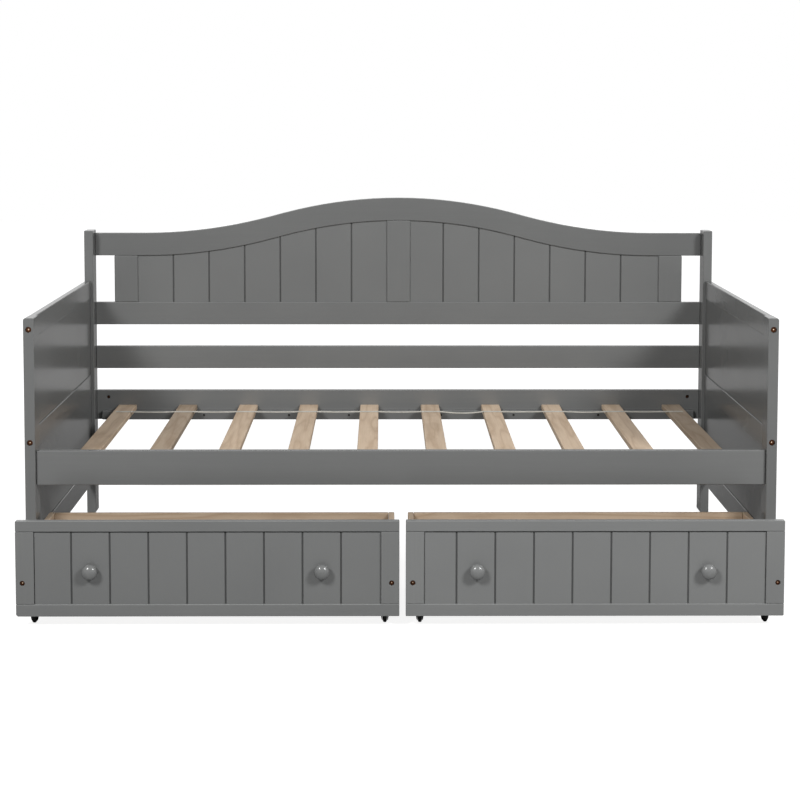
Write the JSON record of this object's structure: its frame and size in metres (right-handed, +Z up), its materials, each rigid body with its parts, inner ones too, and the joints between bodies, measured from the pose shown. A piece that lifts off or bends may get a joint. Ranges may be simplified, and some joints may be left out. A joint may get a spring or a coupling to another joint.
{
  "type": "storage daybed",
  "caption": "Wooden daybed with framed ends, an arched planked backrest, a slatted base and rolling storage drawers under the front rail.",
  "frame": {"origin": "on the floor under the middle of the whole daybed, with its drawers and knobs as they stand at rest", "axes": "+X along the bed, to the right of a person facing its open front; -Y out of the open front; +Z up"},
  "size_m": [2, 1.3582, 1.0111],
  "materials": {
    "grey_paint": "satin grey paint",
    "bare_wood": "unpainted pine",
    "black_plastic": "moulded black plastic",
    "bronze_bolts": "antique bronze plating",
    "dark_screws": "blackened steel",
    "webbing": "woven cream tape"
  },
  "bodies": {
    "bed_frame": {"left_front_post": "grey_paint", "left_back_post": "grey_paint", "left_arm_rail": "grey_paint", "left_upper_panel": "grey_paint", "left_middle_rail": "grey_paint", "left_lower_panel": "grey_paint", "left_bottom_rail": "grey_paint", "right_front_post": "grey_paint", "right_back_post": "grey_paint", "right_arm_rail": "grey_paint", "right_upper_panel": "grey_paint", "right_middle_rail": "grey_paint", "right_lower_panel": "grey_paint", "right_bottom_rail": "grey_paint", "back_arch_rail": "grey_paint", "back_panel_rail": "grey_paint", "back_middle_rail": "grey_paint", "back_left_stile": "grey_paint", "back_centre_stile": "grey_paint", "back_right_stile": "grey_paint", "back_left_panel": "grey_paint", "back_right_panel": "grey_paint", "front_side_rail": "grey_paint", "back_side_rail": "grey_paint", "front_ledger": "grey_paint", "back_ledger": "grey_paint", "slat_01": "bare_wood", "slat_02": "bare_wood", "slat_03": "bare_wood", "slat_04": "bare_wood", "slat_05": "bare_wood", "slat_06": "bare_wood", "slat_07": "bare_wood", "slat_08": "bare_wood", "slat_09": "bare_wood", "slat_10": "bare_wood"},
    "left_drawer": {"left_drawer_frame": "grey_paint", "left_drawer_panel": "grey_paint", "left_drawer_left_side": "bare_wood", "left_drawer_right_side": "bare_wood", "left_drawer_back": "bare_wood", "left_drawer_bottom": "bare_wood", "left_drawer_left_knob": "grey_paint", "left_drawer_right_knob": "grey_paint"},
    "left_drawer_wheel_1": {"left_drawer_wheel_1": "black_plastic"},
    "left_drawer_wheel_2": {"left_drawer_wheel_2": "black_plastic"},
    "left_drawer_wheel_3": {"left_drawer_wheel_3": "black_plastic"},
    "left_drawer_wheel_4": {"left_drawer_wheel_4": "black_plastic"},
    "right_drawer": {"right_drawer_frame": "grey_paint", "right_drawer_panel": "grey_paint", "right_drawer_left_side": "bare_wood", "right_drawer_right_side": "bare_wood", "right_drawer_back": "bare_wood", "right_drawer_bottom": "bare_wood", "right_drawer_left_knob": "grey_paint", "right_drawer_right_knob": "grey_paint"},
    "right_drawer_wheel_1": {"right_drawer_wheel_1": "black_plastic"},
    "right_drawer_wheel_2": {"right_drawer_wheel_2": "black_plastic"},
    "right_drawer_wheel_3": {"right_drawer_wheel_3": "black_plastic"},
    "right_drawer_wheel_4": {"right_drawer_wheel_4": "black_plastic"}
  },
  "joints": [
    {"name": "left_drawer_slide", "type": "slide", "parent": "bed_frame", "child": "left_drawer", "axis": [0, -1, 0], "range_m": [-0.283, 0.117]},
    {"name": "left_drawer_wheel_1_spin", "type": "hinge", "parent": "left_drawer", "child": "left_drawer_wheel_1", "pos_m": [-0.934, -0.59885, 0.0175], "axis": [1, 0, 0], "continuous": true},
    {"name": "left_drawer_wheel_2_spin", "type": "hinge", "parent": "left_drawer", "child": "left_drawer_wheel_2", "pos_m": [-0.04445, -0.59885, 0.0175], "axis": [1, 0, 0], "continuous": true},
    {"name": "left_drawer_wheel_3_spin", "type": "hinge", "parent": "left_drawer", "child": "left_drawer_wheel_3", "pos_m": [-0.934, -0.29685, 0.0175], "axis": [1, 0, 0], "continuous": true},
    {"name": "left_drawer_wheel_4_spin", "type": "hinge", "parent": "left_drawer", "child": "left_drawer_wheel_4", "pos_m": [-0.04445, -0.29685, 0.0175], "axis": [1, 0, 0], "continuous": true},
    {"name": "right_drawer_slide", "type": "slide", "parent": "bed_frame", "child": "right_drawer", "axis": [0, -1, 0], "range_m": [-0.283, 0.117]},
    {"name": "right_drawer_wheel_1_spin", "type": "hinge", "parent": "right_drawer", "child": "right_drawer_wheel_1", "pos_m": [0.04445, -0.59885, 0.0175], "axis": [1, 0, 0], "continuous": true},
    {"name": "right_drawer_wheel_2_spin", "type": "hinge", "parent": "right_drawer", "child": "right_drawer_wheel_2", "pos_m": [0.9245, -0.59885, 0.0175], "axis": [1, 0, 0], "continuous": true},
    {"name": "right_drawer_wheel_3_spin", "type": "hinge", "parent": "right_drawer", "child": "right_drawer_wheel_3", "pos_m": [0.04445, -0.29685, 0.0175], "axis": [1, 0, 0], "continuous": true},
    {"name": "right_drawer_wheel_4_spin", "type": "hinge", "parent": "right_drawer", "child": "right_drawer_wheel_4", "pos_m": [0.9245, -0.29685, 0.0175], "axis": [1, 0, 0], "continuous": true}
  ]
}
